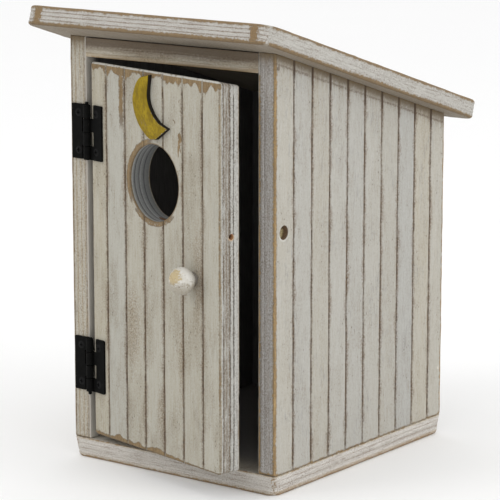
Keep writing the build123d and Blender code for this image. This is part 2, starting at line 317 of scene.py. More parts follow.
COOL_WASH = (0.425, 0.425, 0.415)
WARM_WASH = (0.455, 0.405, 0.315)
FRESH_WASH = (0.54, 0.535, 0.52)
RAW_WOOD = (0.20, 0.135, 0.072)
PALE_WOOD = (0.33, 0.235, 0.13)
DARK_WOOD = (0.085, 0.055, 0.036)
SPATTER = (0.16, 0.115, 0.075)
STAIN = (0.23, 0.155, 0.085)
SMEAR = (0.17, 0.115, 0.075)
GROOVE_DIRT = (0.095, 0.064, 0.044)
GROOVE_DUST = (0.20, 0.14, 0.085)
SCUFF = (0.25, 0.245, 0.24)
GRIME = (0.22, 0.18, 0.125)
EDGE_SCRAPE = (0.17, 0.13, 0.10)
EDGE_PALE = (0.56, 0.55, 0.54)
EDGE_SPATTER = (0.12, 0.085, 0.06)
EDGE_FLECK = (0.58, 0.57, 0.565)
HOLE_CRUMB = (0.05, 0.05, 0.05)
# A darker, browner back face
UNDERSIDE = (0.17, 0.125, 0.075)
# Under the roof: grime mixed with painted shade
SOOT_AND_SHADE = (0.12, 0.078, 0.045)
EAVES_SHADE = (0.20, 0.15, 0.09)
EAVES_SEAM = (0.15, 0.10, 0.07)
# Painted shade on the rail's top under the roof
RAIL_TOP_SHADE = (0.075, 0.052, 0.036)
RAIL_STRIPE = (0.13, 0.105, 0.08)
# The bore's painted light: a highlight on the lower lip, a shaded wall, a lit seat, and shade on the seat's
# top and in the through hole
BORE_LIP_HIGHLIGHT = (0.66, 0.65, 0.60)
BORE_SHADED_WALL = ((0.26, 0.165, 0.10), (0.14, 0.09, 0.055))
BORE_LIT_SEAT = ((0.62, 0.52, 0.30), (0.34, 0.27, 0.15))
BORE_SHADE = (0.12, 0.07, 0.045)
BORE_DEPTH_SHADE = (0.05, 0.035, 0.02)
LATCH_LIP = (0.52, 0.38, 0.25)
# Latch hole wall: light wood at the mouth, darker deeper in as painted shade
LATCH_WALL_DEEPENING_SHADE = ((0.66, 0.38, 0.21), (0.16, 0.08, 0.04))
# Painted shade inside the house
INSIDE_SHADE = (0.27, 0.265, 0.27)
INSIDE_DEEP_SHADE = (0.03, 0.026, 0.022)
# Painted light: the inner face's front margin is lightened to offset the shade there
INNER_MARGIN_LIGHT = (0.62, 0.60, 0.57)

HOLE_PLIES = [
    (0.0, (0.30, 0.28, 0.25)), (0.9, (0.48, 0.48, 0.48)), (2.4, (0.24, 0.245, 0.25)),
    (2.9, (0.08, 0.08, 0.08)), (3.3, (0.34, 0.345, 0.355)), (5.2, (0.24, 0.245, 0.255)),
    (5.6, (0.07, 0.07, 0.07)), (6.0, (0.36, 0.365, 0.375)), (8.2, (0.20, 0.205, 0.215)),
    (8.6, (0.07, 0.07, 0.07)), (9.0, (0.24, 0.245, 0.255)), (12.5, (0.17, 0.17, 0.17)),
]

# What a board's paint can be told, as it is for a plain board. Lengths are in millimetres.
PLAIN_LOOK = dict(
    planks=((1.0, 0.5),), first_groove=0.0, grooves=0,  # each plank has a lightness and a warmth
    grain_across=False,
    slope=0.0, slope_from_right=False,  # how the top end falls
    plies=(), ply_show=(1.0, 1.0),  # (depth, colour) pairs; how far they show on the sides and ends
    edge_paint=(0.47, 0.465, 0.455),
    wear=0.8, bare_wood=(RAW_WOOD, PALE_WOOD),  # how wide the arrises are rubbed, and what shows
    covered_front=False, joined_above=None,  # where other boards keep the paint on an arris
    scuffs=0.5, dirt=0.5, stains=(),  # each stain is (across, up, half width, half height)
    peel_top=0.0, bare_run=0.0, chips_at=(0.0, 0.0),  # peeled paint on a grooved board
    sanded_corners=0.0, scraps_at=0.0,  # how far in, and where a scrap of paint is left
    entrance=None, bore=None,  # each (across, up, radius)
    edge_bore=None,  # (up, depth, radius), in the right edge
    eaves=0.0, underside=0.0, glaze=0.0,  # grime and painted shade under the roof, darker on the back face, glaze in stripes
    dark_inside=False, dark_in_depth=None,  # near-black paint on the back face, or up the front, as painted shade inside the house
    tint=(1.0, 1.0, 1.0),
)


def plank_tone(level, warmth):
    """Whitewash from cool (0) to warm (1), made lighter or darker."""
    return tuple(level * (cool + (warm - cool) * warmth) for cool, warm in zip(COOL_WASH, WARM_WASH))


def ply_stops(plies, thickness):
    """Colour stops across a board's edge from (depth in mm, colour) pairs."""
    return [(depth / thickness, colour) for depth, colour in plies]


def second_smallest(a, b, c):
    return a.low(b).high(a.high(b).low(c))


class Board(Shader):
    """A board's material. The functions below add fields to it and lay colours over its coat."""

    def __init__(self, name, size, seed, look):
        super().__init__(name)
        vars(self).update(PLAIN_LOOK, size=size, seed=seed, **look)
        measure(self)

    def cover(self, share, colour):
        """Lays a share of a colour over the coat."""
        self.coat = self.blend(share, self.coat, colour)


def measure(b):
    """Where a point lies on the board, and the noises that its paint is drawn with."""
    width, height, thick = b.size
    b.x, b.y, b.z = x, y, z = b.split(b.place() * (1.0 / MM))
    b.along, b.cross = along, cross = (x, y) if b.grain_across else (y, x)
    b.side = x.low(width - x)
    b.top = height - y - tan(b.slope) * ((width - x) if b.slope_from_right else x)
    b.end = y.low(b.top)
    b.deep = (-z).low(z + thick)
    b.arris = second_smallest(b.side, b.end, b.deep)
    if b.entrance:
        b.from_hole = b.distance(x - b.entrance[0], y - b.entrance[1])
        b.hole_wall = (b.from_hole - b.entrance[2]).abs()
        b.arris = b.arris.low(b.hole_wall.high(b.deep))
    b.on_edge = b.deep.ramp(0.7, 1.1)
    b.on_front = z.ramp(-1.5, -1.2)

    seed = b.seed
    b.fine = b.noise(cross * 2.6, along * 0.12, z * 2.6 + seed, detail=4.0, roughness=0.65)
    b.streak = b.noise(cross * 0.75, along * 0.03, z * 0.75 + seed, roughness=0.6)
    b.cloud = b.noise(cross * 0.12, along * 0.035, z * 0.1 + 2 * seed, detail=5.0, roughness=0.62)
    b.chip = b.noise(x, y, z + seed, scale=0.55, detail=5.0, roughness=0.68)
    b.crumb = b.noise(x, y, z + 3 * seed, scale=2.4, detail=2.0)
    b.grit = b.noise(cross * 1.9, along * 1.1, z * 1.9 + 6 * seed, detail=4.0, roughness=0.8)
    b.tick = b.noise(cross * 1.3, along * 0.7, z * 1.3 + 7 * seed, roughness=0.8)
    b.strokes = b.noise(cross * 1.1, along * 0.16, z + 5 * seed, roughness=0.7)
    if b.peel_top:
        b.ragged = b.noise(x * 0.16, y * 0.03, seed, detail=1.0)
        b.teeth = b.noise(x * 0.7, y * 0.45, seed, detail=5.0, roughness=0.8)
    if b.grooves:
        b.number = ((x - b.first_groove) / GROOVE_PITCH).floor() + 1.0
        wander = b.noise(0.0, y * 0.05, b.number + seed, detail=2.0).jitter(0.5)
        phase = (x + wander - b.first_groove) / GROOVE_PITCH
        b.in_run = phase.ramp(-0.52, -0.5) * phase.ramp(b.grooves - 0.48, b.grooves - 0.5)
        b.groove = (phase - (phase + 0.5).floor()).abs() * GROOVE_PITCH


def whitewash(b):
    """The paint where it is whole: a tone for each plank, brushed, then marked by use."""
    if b.grooves:
        count = b.grooves + 1
        tones = [(i / count, plank_tone(*b.planks[i % len(b.planks)])) for i in range(count)]
        b.coat = b.bands(b.number / count + 0.25 / count, tones, steps=True)
    else:
        b.coat = b.blend(b.cloud.ramp(0.3, 0.7), plank_tone(*b.planks[0]), plank_tone(*b.planks[-1]))

    # Lighter and darker streaks along the grain, then soft clouds of grime
    b.cover(b.streak.ramp(0.35, 0.75) * 0.3, FRESH_WASH)
    b.cover(b.fine.ramp(0.5, 0.78) * 0.5, RAW_WOOD)
    b.cover(b.fine.ramp(0.48, 0.25) * 0.35, FRESH_WASH)
    grime = b.cloud.ramp(0.42, 0.72) * (0.3 + b.streak * 0.8)
    b.cover(grime * (0.6 * b.dirt), GRIME)
    spatter = 0.2 + 0.5 * b.dirt * b.cloud.ramp(0.42, 0.66)
    b.cover(b.grit.ramp(0.51, 0.64) * spatter, SPATTER)
    b.cover(b.grit.ramp(0.47, 0.36) * 0.4, FRESH_WASH)

    # Grey scuffs in short strokes and small dark specks, gathered in a few places
    gathered = b.noise(b.cross * 0.05, b.along * 0.028, 7.0 * b.seed, detail=1.0)
    scuffed = b.strokes.ramp(0.53, 0.66) * gathered.ramp(0.5, 0.64)
    b.cover(scuffed * b.scuffs, SCUFF)
    away, pick = b.cells(b.cross, b.along * 0.55, b.z, 0.75)
    b.speck = away.ramp(0.26, 0.12) * pick.ramp(0.72, 0.8) * b.cloud.ramp(0.42, 0.6)
    b.cover(b.speck * 0.75, DARK_WOOD)

    # Brown stains where the paint is rubbed thin
    for across, up, half_width, half_height in b.stains:
        away = b.distance((b.x - across) / half_width, (b.y - up) / half_height)
        spot = (away + b.chip.jitter(1.5)).ramp(1.15, 0.3)
        b.cover(spot * b.grit.ramp(0.42, 0.58) * 0.6, STAIN)
        b.cover(spot * b.tick.ramp(0.52, 0.62) * 0.5, DARK_WOOD)
    if b.grooves:
        # Dirt smeared out of the grooves
        stain = b.noise(b.number * 2.3, b.y * 0.045, b.seed, detail=4.0, roughness=0.7)
        reach = stain.ramp(0.40, 0.70) * 2.8 + 0.5
        smear = (1.0 - (b.groove - 0.5) / reach).high(0.0).low(1.0) * (0.25 + stain.ramp(0.35, 0.62))
        smear = smear * b.grit.ramp(0.38, 0.58)
        b.cover(smear * b.in_run * b.on_front * 0.75, SMEAR)


def peeled_ends(b, bare):
    """Paint gone from the top down to a ragged line, but kept in the grooves, and from the foot."""
    line_down = b.peel_top * (0.5 + 0.9 * b.ragged.ramp(0.3, 0.7)) + b.teeth.jitter(5.0)
    peeled = (b.top - line_down).ramp(0.25, -0.25) * b.top.ramp(0.8, 1.3) * b.groove.ramp(0.45, 0.8)
    bare = bare.high(peeled * b.on_front)
    low_line = (0.9 + 2.2 * b.ragged.ramp(0.35, 0.7)) * b.x.ramp(88.0, 40.0)
    low_line = low_line + b.teeth.jitter(2.4) + 0.8
    worn_foot = (b.y - low_line).ramp(0.3, -0.3) * b.groove.ramp(0.3, 0.6)
    return bare.high(worn_foot * b.on_front)


def chipped_face(b, bare):
    """One run of bare wood beside a groove, and a group of chips."""
    run = (b.x - b.bare_run + b.chip.jitter(6.0)).abs() + b.teeth.jitter(2.5)
    run = run.ramp(1.7, 1.2) * b.top.ramp(34.0, 20.0) * b.on_front * b.groove.ramp(0.45, 0.8)
    bare = bare.high(run)
    blots = b.noise(b.x * 0.35, b.y * 0.13, 11.0 + b.seed, detail=4.0, roughness=0.7)
    across, up = b.x - b.chips_at[0], b.y - b.chips_at[1]
    near = b.sum("SQRT", across * across * 2.5 + up * up * 0.25)
    return bare.high((blots - near * 0.012).ramp(0.52, 0.56) * b.on_front * near.ramp(14.0, 10.0))


def worn_entrance(b, bare):
    """Bare wood about the entrance: wide at the left and the foot, thin elsewhere."""
    hole_x = b.x - b.entrance[0]
    hole_y = b.y - b.entrance[1]
    ring = b.from_hole - b.entrance[2] + b.teeth.jitter(2.5)
    left_rim = (hole_x - hole_y * 0.5).ramp(-10.0, -16.0) * ring.ramp(2.9, 2.2)
    foot_rim = hole_y.ramp(-13.0, -17.0) * ring.ramp(2.8, 2.0) * b.tick.ramp(0.36, 0.46)
    thin_rim = ring.ramp(0.75, 0.35) * (0.35 + 0.5 * hole_x.ramp(-4.0, 12.0))
    return bare.high(left_rim.high(foot_rim).high(thin_rim) * b.on_front)


def worn_corners(b, bare):
    """The corners are sanded through, with a scrap of paint left beside each."""
    round_it = b.side + b.end + b.chip.jitter(7.0) + b.tick.jitter(3.0)
    reach = b.sanded_corners
    bare = bare.high(round_it.ramp(reach + 0.4, reach - 0.4) * b.on_edge)
    if b.scraps_at:
        scraps = (round_it - b.scraps_at).abs().ramp(2.6, 1.8) * (b.side - b.end).ramp(-0.5, 0.5)
        bare = bare.high(scraps * b.on_edge)
    return bare


def strip(b):
    """Shows bare wood where the paint has gone, and dirt in the grooves."""
    bare = b.chip * 0.0
    if b.peel_top:
        bare = chipped_face(b, peeled_ends(b, bare))
    if b.entrance:
        bare = worn_entrance(b, bare)
    if b.sanded_corners:
        bare = worn_corners(b, bare)
    b.bare = bare
    wood = b.blend(b.fine.ramp(0.42, 0.66), *b.bare_wood)
    wood = b.blend(b.grit.ramp(0.5, 0.64) * 0.55, wood, DARK_WOOD)
    b.wood = b.blend(b.tick.ramp(0.58, 0.7) * 0.5, wood, DARK_WOOD)
    b.cover(bare, b.wood)
    b.cover(bare.ramp(0.02, 0.4) * bare.ramp(0.98, 0.6) * 0.5, DARK_WOOD)
    if b.grooves:
        line = (b.groove + b.tick.jitter(1.3)).ramp(0.85, 0.38)
        strength = b.noise(b.number * 3.0, b.y * 0.05, 9.0 + b.seed).ramp(0.38, 0.56)
        kept = b.end.ramp(1.0, 3.0)
        if b.peel_top:
            kept = kept * b.top.ramp(b.peel_top * 1.3, b.peel_top * 1.9)
        line = line * b.in_run * b.on_front * (0.42 + 0.5 * strength) * kept
        b.cover(line, b.blend(b.tick.ramp(0.44, 0.6), GROOVE_DIRT, GROOVE_DUST))


def show_plies(b):
    """The edges: plies under thin, scraped paint."""
    x, y, z = b.x, b.y, b.z
    tilt = b.noise(x * 0.03, y * 0.03, b.seed, detail=1.0).jitter(0.05)
    lace = b.crumb.jitter(0.05) + b.tick.jitter(0.09)
    layers = b.bands((-z) / b.size[2] + tilt + lace, ply_stops(b.plies, b.size[2]))
    on_end = (b.side - b.end).ramp(-0.3, 0.3)
    across, up = x * (1.8 - on_end * 1.72), y * (0.08 + on_end * 1.72)
    b.scrape = b.noise(across, up, z * 1.8 + b.seed, detail=4.0, roughness=0.72)
    rubbed = b.noise(x * 0.09, y * 0.09, z * 0.5 + 4 * b.seed)
    show = on_end * (b.ply_show[1] - b.ply_show[0]) + b.ply_show[0]
    layers = b.blend(show * rubbed.ramp(0.25, 0.5), b.edge_paint, layers)
    layers = b.blend(b.scrape.ramp(0.5, 0.66) * 0.5, layers, EDGE_SCRAPE)
    layers = b.blend(b.scrape.ramp(0.45, 0.3) * 0.4, layers, EDGE_PALE)
    spatter = b.grit.ramp(0.5, 0.62) * (0.35 + 0.4 * rubbed.ramp(0.4, 0.6))
    layers = b.blend(spatter, layers, EDGE_SPATTER)
    layers = b.blend(b.grit.ramp(0.47, 0.37) * 0.5, layers, EDGE_FLECK)
    b.cover(b.on_edge * (1.0 - b.bare), layers)


def paint_entrance(b):
    """The wall of the entrance is painted a cold grey over its plies."""
    turn = b.noise(b.x * 0.2, b.y * 0.2, b.z * 2.6, roughness=0.7)
    rings = b.bands((-b.z) / b.size[2] + turn.jitter(0.05), ply_stops(HOLE_PLIES, b.size[2]))
    rings = b.blend(b.crumb.ramp(0.5, 0.75) * 0.5, rings, HOLE_CRUMB)
    b.cover(b.hole_wall.ramp(0.6, 0.3) * b.on_edge, rings)


def rub_arrises(b):
    """Worn arrises: tan wood, with dark grime caught beside it."""
    y, z, thick, wear = b.y, b.z, b.size[2], b.wear
    frayed = b.arris + b.chip.jitter(2.4) * wear + b.cloud.jitter(2.0) + b.tick.jitter(1.4)
    if b.covered_front:
        frayed = frayed + z.ramp(-3.0, -1.5) * 0.75
    if b.eaves:
        frayed = frayed + y.ramp(3.5, 2.0) * b.side.ramp(1.5, 4.0) * 0.7
    if b.joined_above:
        behind_rail = z.ramp(-thick + 3.5, -thick + 2.5)
        frayed = frayed + y.ramp(b.joined_above - 1.0, b.joined_above) * behind_rail * 4.0
    if b.glaze:
        frayed = frayed + b.side.ramp(4.0, 2.0) * 4.0
    b.cover(frayed.ramp(wear + 0.6, wear + 0.1) * 0.45, GRIME)
    b.cover(frayed.ramp(wear, wear - 0.3) * 0.95, b.wood)
    dark_line = (frayed - wear * 0.85).abs().ramp(0.2, 0.06) * b.chip.ramp(0.35, 0.6)
    b.cover(dark_line * 0.6, DARK_WOOD)
    if b.peel_top:
        # The top arris kept a line of paint
        kept_line = (b.top - 0.2).abs().ramp(1.1, 0.7) * z.ramp(-1.6, -1.0)
        b.cover(kept_line * b.chip.ramp(0.62, 0.5) * 0.9, FRESH_WASH)


def darken_underside(b):
    # The back face is made darker and browner, with dark flecks
    below = b.z.ramp(-b.size[2] + 1.2, -b.size[2] + 0.5) * b.underside
    b.cover(below * (0.55 + 0.9 * (b.streak - 0.3)), UNDERSIDE)
    b.cover(below * b.grit.ramp(0.5, 0.64) * 0.7, DARK_WOOD)


def grime_and_shade_eaves(b):
    """Under the roof: short dark strokes of grime and painted shade, a wider band of painted shade, grime
    along a seam, and painted shade at the tops of the grooves.
    """
    top, reach = b.top, b.eaves
    under = (top + b.tick.jitter(6.0) + b.grit.jitter(4.0)).ramp(reach * 1.05, reach * 0.5)
    # Grime and painted shade: a band of dark strokes just under the roof
    b.cover(under * 0.7, SOOT_AND_SHADE)
    shade = (top + b.streak.jitter(14.0) + b.chip.jitter(6.0)).ramp(reach * 2.2, reach * 0.3)
    # Painted shade: a wider band darkening below the roof
    b.cover(shade * 0.6, EAVES_SHADE)
    seam = (top - 5.2 + b.tick.jitter(2.4)).abs().ramp(0.8, 0.3) * b.grit.ramp(0.4, 0.52)
    b.cover(seam * b.on_front * 0.65, EAVES_SEAM)
    # Painted shade in the groove tops under the roof
    groove_top_shade = b.groove.ramp(1.15, 0.6) * b.in_run * (top + b.strokes.jitter(12.0)).ramp(10.5, 8.0)
    b.cover(groove_top_shade * b.on_front * 0.8, DARK_WOOD)


def stripe_rail(b):
    """The rail's top, painted dark as shade under the roof, and its stripes along the grain."""
    stripes = b.noise(b.x * 0.03, b.y * 1.1, b.z * 0.3 + b.seed, detail=4.0, roughness=0.65)
    # Painted shade: the top of the rail darkens under the roof
    dark_top = (b.top + stripes.jitter(8.0) + b.tick.jitter(5.0)).ramp(7.0, 3.0)
    b.cover(dark_top * 0.85, RAIL_TOP_SHADE)
    b.cover(stripes.ramp(0.42, 0.6) * b.glaze, RAIL_STRIPE)
    b.cover(b.y.ramp(2.4, 1.0) * b.z.ramp(-1.0, -0.4) * 0.3, PALE_WOOD)


def line_bore(b):
    """A stepped hole in the face: a pale lower lip as a painted highlight, a wall painted dark as shade, and
    a seat painted lighter as lit, with painted shade on the seat's upper side and in the through hole.
    """
    across, up, radius = b.bore
    out = b.distance(b.x - across, b.y - up)
    in_bore = out.ramp(radius + 0.35, radius + 0.05) * b.z.ramp(-0.15, -0.5)
    # Painted highlight: the lower lip is made pale
    lip = (out - radius - 0.5).abs().ramp(0.55, 0.25) * (b.y - up).ramp(0.5, -1.5)
    b.cover(lip * 0.4, BORE_LIP_HIGHLIGHT)
    # Painted shade on the wall and painted light on the seat, with the seat's upper side darker as painted
    # shade
    lining = b.blend(b.grit.ramp(0.4, 0.6), *BORE_SHADED_WALL)
    seat = b.blend(b.grit.ramp(0.42, 0.58), *BORE_LIT_SEAT)
    seat = b.blend((b.y - up).ramp(0.2, 2.0), seat, BORE_SHADE)
    lining = b.blend(b.z.ramp(-2.6, -3.2), lining, seat)
    # Painted shade: the through hole is near black
    b.cover(in_bore, b.blend(out.ramp(2.0, 1.7), lining, BORE_DEPTH_SHADE))


def line_edge_bore(b):
    """A blind hole in the right edge, with bare wood at its lip, and its wall painted darker deeper in, as
    painted shade.
    """
    up, depth, radius = b.edge_bore
    sunk = b.size[0] - b.x
    out = b.distance(b.y - up, b.z + depth)
    lip = out.ramp(radius + 0.8, radius + 0.3) * sunk.ramp(0.9, 0.6)
    b.cover(lip * (b.y - up).ramp(1.0, -1.0) * 0.8, LATCH_LIP)
    in_bore = out.ramp(radius + 0.3, radius) * sunk.ramp(0.1, 0.4)
    # Painted shade: the wall darkens from the mouth inwards
    b.cover(in_bore, b.blend(sunk.ramp(1.0, 4.0), *LATCH_WALL_DEEPENING_SHADE))


def blacken_inside(b):
    """The inside of the house is painted near black, as painted shade, but for a margin at the front painted
    lighter to offset its shade.
    """
    inner = b.z.ramp(-b.size[2] + 0.6, -b.size[2] + 0.3)
    if b.slope:
        from_front = (b.size[0] - b.x) if b.slope_from_right else b.x
        # Painted light: the front margin of the inner face is made lighter
        b.cover(inner, INNER_MARGIN_LIGHT)
        inner = inner * (from_front + b.chip.jitter(3.0)).ramp(5.0, 9.0)
    # Painted shade: the inner face is near black
    b.cover(inner, b.blend(b.fine, INSIDE_SHADE, INSIDE_DEEP_SHADE))


def blacken_floor(b):
    # Painted shade: the floor's top goes dark from a little behind the front, deeper inside
    inner = (b.y + b.chip.jitter(8.0)).ramp(*b.dark_in_depth) * b.z.ramp(-0.6, -0.3)
    b.cover(inner * b.side.ramp(PLY - 1.0, PLY), INSIDE_SHADE)


def weathered(name, size, seed, **look):
    """Distressed whitewash on a plywood board, drawn in the board's own frame."""
    b = Board(name, size, seed, look)
    whitewash(b)
    strip(b)
    later_layers = [
        (b.plies, show_plies), (b.entrance, paint_entrance), (True, rub_arrises),
        (b.underside, darken_underside), (b.eaves, grime_and_shade_eaves), (b.glaze, stripe_rail), (b.bore, line_bore),
        (b.edge_bore, line_edge_bore), (b.dark_inside, blacken_inside), (b.dark_in_depth, blacken_floor),
    ]
    for wanted, layer in later_layers:
        if wanted:
            layer(b)
    coat = b.vector_sum("MULTIPLY", b.coat, b.tint)
    relief = b.fine * 0.10 + b.streak * 0.10 + b.chip * 0.05 - b.bare * 0.14 - b.speck * 0.1
    if b.plies:
        relief = relief + b.on_edge * b.scrape * 0.12
    return b.finish(coat, roughness=0.72 + b.fine * 0.16, height=relief, relief=0.6)


# ---------------- painted boards: shape


def wobble(points, wavelength, seed, waves=7):
    """A smooth random height, about -1 to 1, at each point."""
    rng = np.random.default_rng(seed)
    total = np.zeros(len(points))
    for _ in range(waves):
        direction = rng.normal(size=3)
        direction /= np.linalg.norm(direction)
        length = wavelength * rng.uniform(0.7, 1.5)
        total += np.sin(points @ direction * 2 * pi / length + rng.uniform(0, 2 * pi))
    return total / waves**0.5 * 0.8


def stops(length, rounds, marks=(), spacing=4.0):
    """Grid positions from 0 to length: close in the rounded ends and at each (place, reach) mark."""
    places = set(np.linspace(0, length, max(2, int(length / spacing)) + 1))
    for radius in rounds:
        for angle in (0, 15, 30, 45):
            places.add(radius * (1 - tan(radians(angle))))
            places.add(length - radius * (1 - tan(radians(angle))))
    for place, reach in marks:
        for share in (-1.3, -1, -0.72, -0.45, -0.2, 0, 0.2, 0.45, 0.72, 1, 1.3):
            places.add(place + share * reach)
    ordered = sorted(p for p in places if -1e-9 <= p <= length + 1e-9)
    kept = [0.0]
    for place in ordered:
        if place - kept[-1] > 0.09:
            kept.append(place)
    kept[-1] = length
    return np.array(kept)


def box_surface(xs, ys, zs):
    """The points and faces of a box whose sides are cut at the given positions."""
    shape = (len(xs), len(ys), len(zs))
    i, j, k = np.indices(shape)
    skin = (i % (shape[0] - 1) == 0) | (j % (shape[1] - 1) == 0) | (k % (shape[2] - 1) == 0)
    index = np.full(shape, -1)
    index[skin] = np.arange(skin.sum())
    points = np.stack([xs[i[skin]], ys[j[skin]], zs[k[skin]]], axis=1)
    faces = []
    for axis in range(3):
        for end in (0, -1):
            sheet = np.take(index, end, axis=axis)
            ring = [sheet[:-1, :-1], sheet[1:, :-1], sheet[1:, 1:], sheet[:-1, 1:]]
            quads = np.stack(ring, axis=-1).reshape(-1, 4)
            faces.append(quads[:, ::-1] if (end == 0) != (axis == 1) else quads)
    return points, np.concatenate(faces)


def round_corners(points, width, height, radius):
    """Rounds the four corners of the outline, and gives each point's inset and outward direction."""
    flat = points[:, :2]
    core = np.clip(flat, radius[:, None], [width, height] - radius[:, None])
    away = flat - core
    longest = np.abs(away).max(axis=1)
    length = np.hypot(away[:, 0], away[:, 1])
    cornered = (np.abs(away) > 1e-9).all(axis=1)
    scale = np.where(cornered, longest / np.maximum(length, 1e-9), 1.0)
    points[:, :2] = core + away * scale[:, None]
    gaps = np.stack([flat[:, 0], width - flat[:, 0], flat[:, 1], height - flat[:, 1]], axis=1)
    nearest = gaps.argmin(axis=1)
    outward = np.array([[-1.0, 0], [1, 0], [0, -1], [0, 1]])[nearest]
    inset = gaps.min(axis=1)
    outward[cornered] = away[cornered] / length[cornered, None]
    inset[cornered] = (radius - longest)[cornered]
    return inset, outward


def soften(inset, depth, radius):
    """Rounds the arris where a face meets the edge: new insets and depths."""
    a = np.maximum(radius - inset, 0)
    b = np.maximum(radius - depth, 0)
    length = np.maximum(np.hypot(a, b), 1e-9)
    shrink = np.where((a > 0) & (b > 0), radius / length, 1.0)
    return np.where(a > 0, radius - a * shrink, inset), np.where(b > 0, radius - b * shrink, depth)


def board_mesh(
    size, seed, corner_radius=(1.2, 1.2), front_ease=1.0, back_ease=1.0, groove_lines=(), dimples=(),
    slope=0.0, slope_from_right=False, layers=(), spacing=4.0,
):
    """A plywood board with worn arrises, V-grooves, nail dimples and plies that stand apart.

    The outline's corners have one radius at the front face and one at the back.
    """
    width, height, thick = size
    most = max(front_ease, back_ease)
    columns = [(place, 0.8) for place in groove_lines] + [(d[0], d[2]) for d in dimples]
    rows = [(d[1], d[2]) for d in dimples]
    xs = stops(width, (max(corner_radius), most), columns, spacing)
    ys = stops(height, (max(corner_radius), most), rows, spacing)
    zs = stops(thick, (front_ease, back_ease), [(depth, 0.35) for depth in layers], 1.2) - thick
    points, faces = box_surface(xs, ys, zs)
    radius = np.interp(-points[:, 2] / thick, (0, 1), corner_radius)
    inset, outward = round_corners(points, width, height, radius)
    depth = -points[:, 2]

    rub = 0.72 + 0.28 * wobble(points, 34, seed) * wobble(points, 11, seed + 1)
    nicks = np.clip(wobble(points, 7, seed + 2) - 0.95, 0, 1) * 0.9
    front = np.clip(front_ease * rub + nicks, 0.25, front_ease * 1.35)
    back = np.clip(back_ease * rub + nicks, 0.25, back_ease * 1.35)
    near_front = depth < thick / 2
    new_inset, new_front = soften(inset, depth, front)
    back_inset, new_back = soften(inset, thick - depth, back)
    shift = np.where(near_front, new_inset, back_inset) - inset
    points[:, :2] -= outward * shift[:, None]
    points[:, 2] = np.where(near_front, -new_front, new_back - thick)

    # The edge is not quite flat: soft plies sit back, and sanding leaves it wavy
    on_side = (inset < 1e-6) & (depth > front_ease) & (depth < thick - back_ease)
    sunk = np.zeros(len(points))
    for layer in layers:
        sunk += 0.16 * np.exp(-(((depth - layer) / 0.3) ** 2))
    sunk += 0.07 * (1 + wobble(points, 5, seed + 3))
    points[:, :2] -= outward * np.where(on_side, sunk, 0.0)[:, None]

    # Grooves wander a little, and their width and depth vary
    x, y = points[:, 0], points[:, 1]
    for number, place in enumerate(groove_lines):
        line = np.stack([np.full(len(points), 40.0 * number), y, np.zeros(len(points))], axis=1)
        middle = place + 0.10 * wobble(line, 60, seed + 5)
        half = 0.75 + 0.10 * wobble(line, 25, seed + 6)
        deepest = GROOVE_DEPTH * (0.9 + 0.12 * wobble(line, 18, seed + 7))
        share = np.abs(x - middle) / half
        cut = deepest * np.clip(1 - share, 0, 1) + 0.10 * np.exp(-((share - 1) ** 2) * 8)
        points[:, 2] = np.minimum(points[:, 2], -cut)
    for across, up, reach, sink in dimples:
        gap = np.hypot(x - across, y - up) / reach
        bowl = sink * np.clip(1.3 - gap, 0, 0.6) / 0.6
        points[:, 2] = np.minimum(points[:, 2], -bowl)
    front_face = depth < 1e-6
    points[front_face, 2] -= 0.05 * (1 + wobble(points[front_face], 22, seed + 8))

    if slope:
        run = (width - points[:, 0]) if slope_from_right else points[:, 0]
        points[:, 1] -= points[:, 1] / height * tan(slope) * run
    return points, faces


def add_piece(name, points, faces, place, body, nodes, material, smooth=40):
    """A mesh piece from millimetre points in its own frame, riding on its body."""
    mesh = bpy.data.meshes.new(name)
    mesh.from_pydata((np.asarray(points) * MM).tolist(), [], [list(map(int, f)) for f in faces])
    mesh.validate()
    mesh.update()
    mesh.polygons.foreach_set("use_smooth", np.ones(len(mesh.polygons), bool))
    mesh.set_sharp_from_angle(angle=radians(smooth))
    piece = bpy.data.objects.new(name, mesh)
    bpy.context.scene.collection.objects.link(piece)
    piece.matrix_world = place
    mesh.materials.append(material)
    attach(piece, body)
    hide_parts(*nodes)
    return piece


def stack_rings(rings, around):
    """The faces between rings of points, and the one that closes the lowest ring."""
    faces = []
    for low in range(0, (rings - 1) * around, around):
        for step in range(around):
            following = (step + 1) % around
            faces.append((low + step, low + following, low + around + following, low + around + step))
    faces.append(tuple(reversed(range(around))))
    return faces


def lathe(profile, turns=64):
    """Points and faces of a shape turned about Z from (radius, height) pairs, closed at both ends."""
    angles = [2 * pi * step / turns for step in range(turns)]
    points = [(radius * cos(a), radius * sin(a), level) for radius, level in profile for a in angles]
    last = len(points) - turns
    return np.array(points), stack_rings(len(profile), turns) + [tuple(range(last, last + turns))]


def carve(piece, profile, place):
    """Cuts a turned shape out of a piece."""
    points, faces = lathe(profile)
    mesh = bpy.data.meshes.new("cutter")
    mesh.from_pydata((points * MM).tolist(), [], faces)
    cutter = bpy.data.objects.new("cutter", mesh)
    bpy.context.scene.collection.objects.link(cutter)
    cutter.matrix_world = place
    cut = piece.modifiers.new("cut", "BOOLEAN")
    cut.operation = "DIFFERENCE"
    cut.solver = "EXACT"
    cut.object = cutter
    bpy.context.view_layer.update()
    evaluated = piece.evaluated_get(bpy.context.evaluated_depsgraph_get())
    carved = bpy.data.meshes.new_from_object(evaluated)
    piece.modifiers.clear()
    piece.data = carved
    bpy.data.objects.remove(cutter)
    carved.set_sharp_from_angle(angle=radians(40))


def hole_profile(radius, length, ease):
    """A cutter for a round hole with eased rims, its middle at Z 0."""
    half = length / 2
    profile = [(radius + ease + 0.6, -half - 1.0), (radius + ease, -half - 0.02)]
    for angle in (0, 20, 40, 60, 80, 90):
        turn = radians(angle)
        profile.append((radius + ease * (1 - sin(turn)), -half + ease * (1 - cos(turn))))
    return profile + [(r, -level) for r, level in reversed(profile)]


